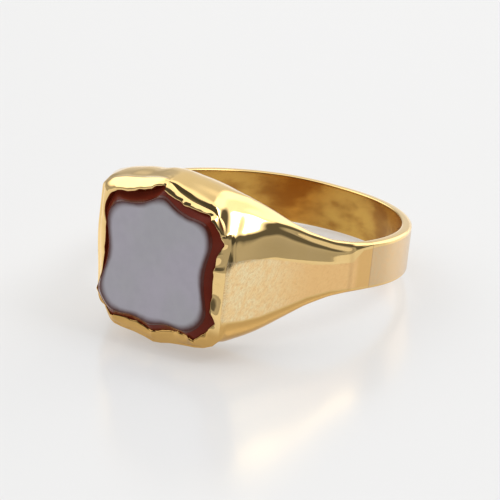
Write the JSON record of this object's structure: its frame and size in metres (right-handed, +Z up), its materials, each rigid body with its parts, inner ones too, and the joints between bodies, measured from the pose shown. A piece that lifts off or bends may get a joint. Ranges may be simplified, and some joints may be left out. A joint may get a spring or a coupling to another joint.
{
  "type": "signet ring",
  "caption": "Gold signet-type ring with a shield-shaped plaque of two-layer agate, lying on its side.",
  "frame": {"origin": "centre of the finger hole, halfway up the band", "axes": "+Z up as the ring lies on its side, +Y towards the back of the band, the stone's face towards -Y and 12 degrees up, +X to the wearer's side that the picture shows"},
  "size_m": [0.0198, 0.0235, 0.0113],
  "materials": {
    "gold": "polished",
    "sard": "polished",
    "blue_grey": "polished"
  },
  "bodies": {
    "root": {"ring_body": "gold", "stone_base": "sard", "stone_top": "blue_grey"}
  },
  "joints": []
}
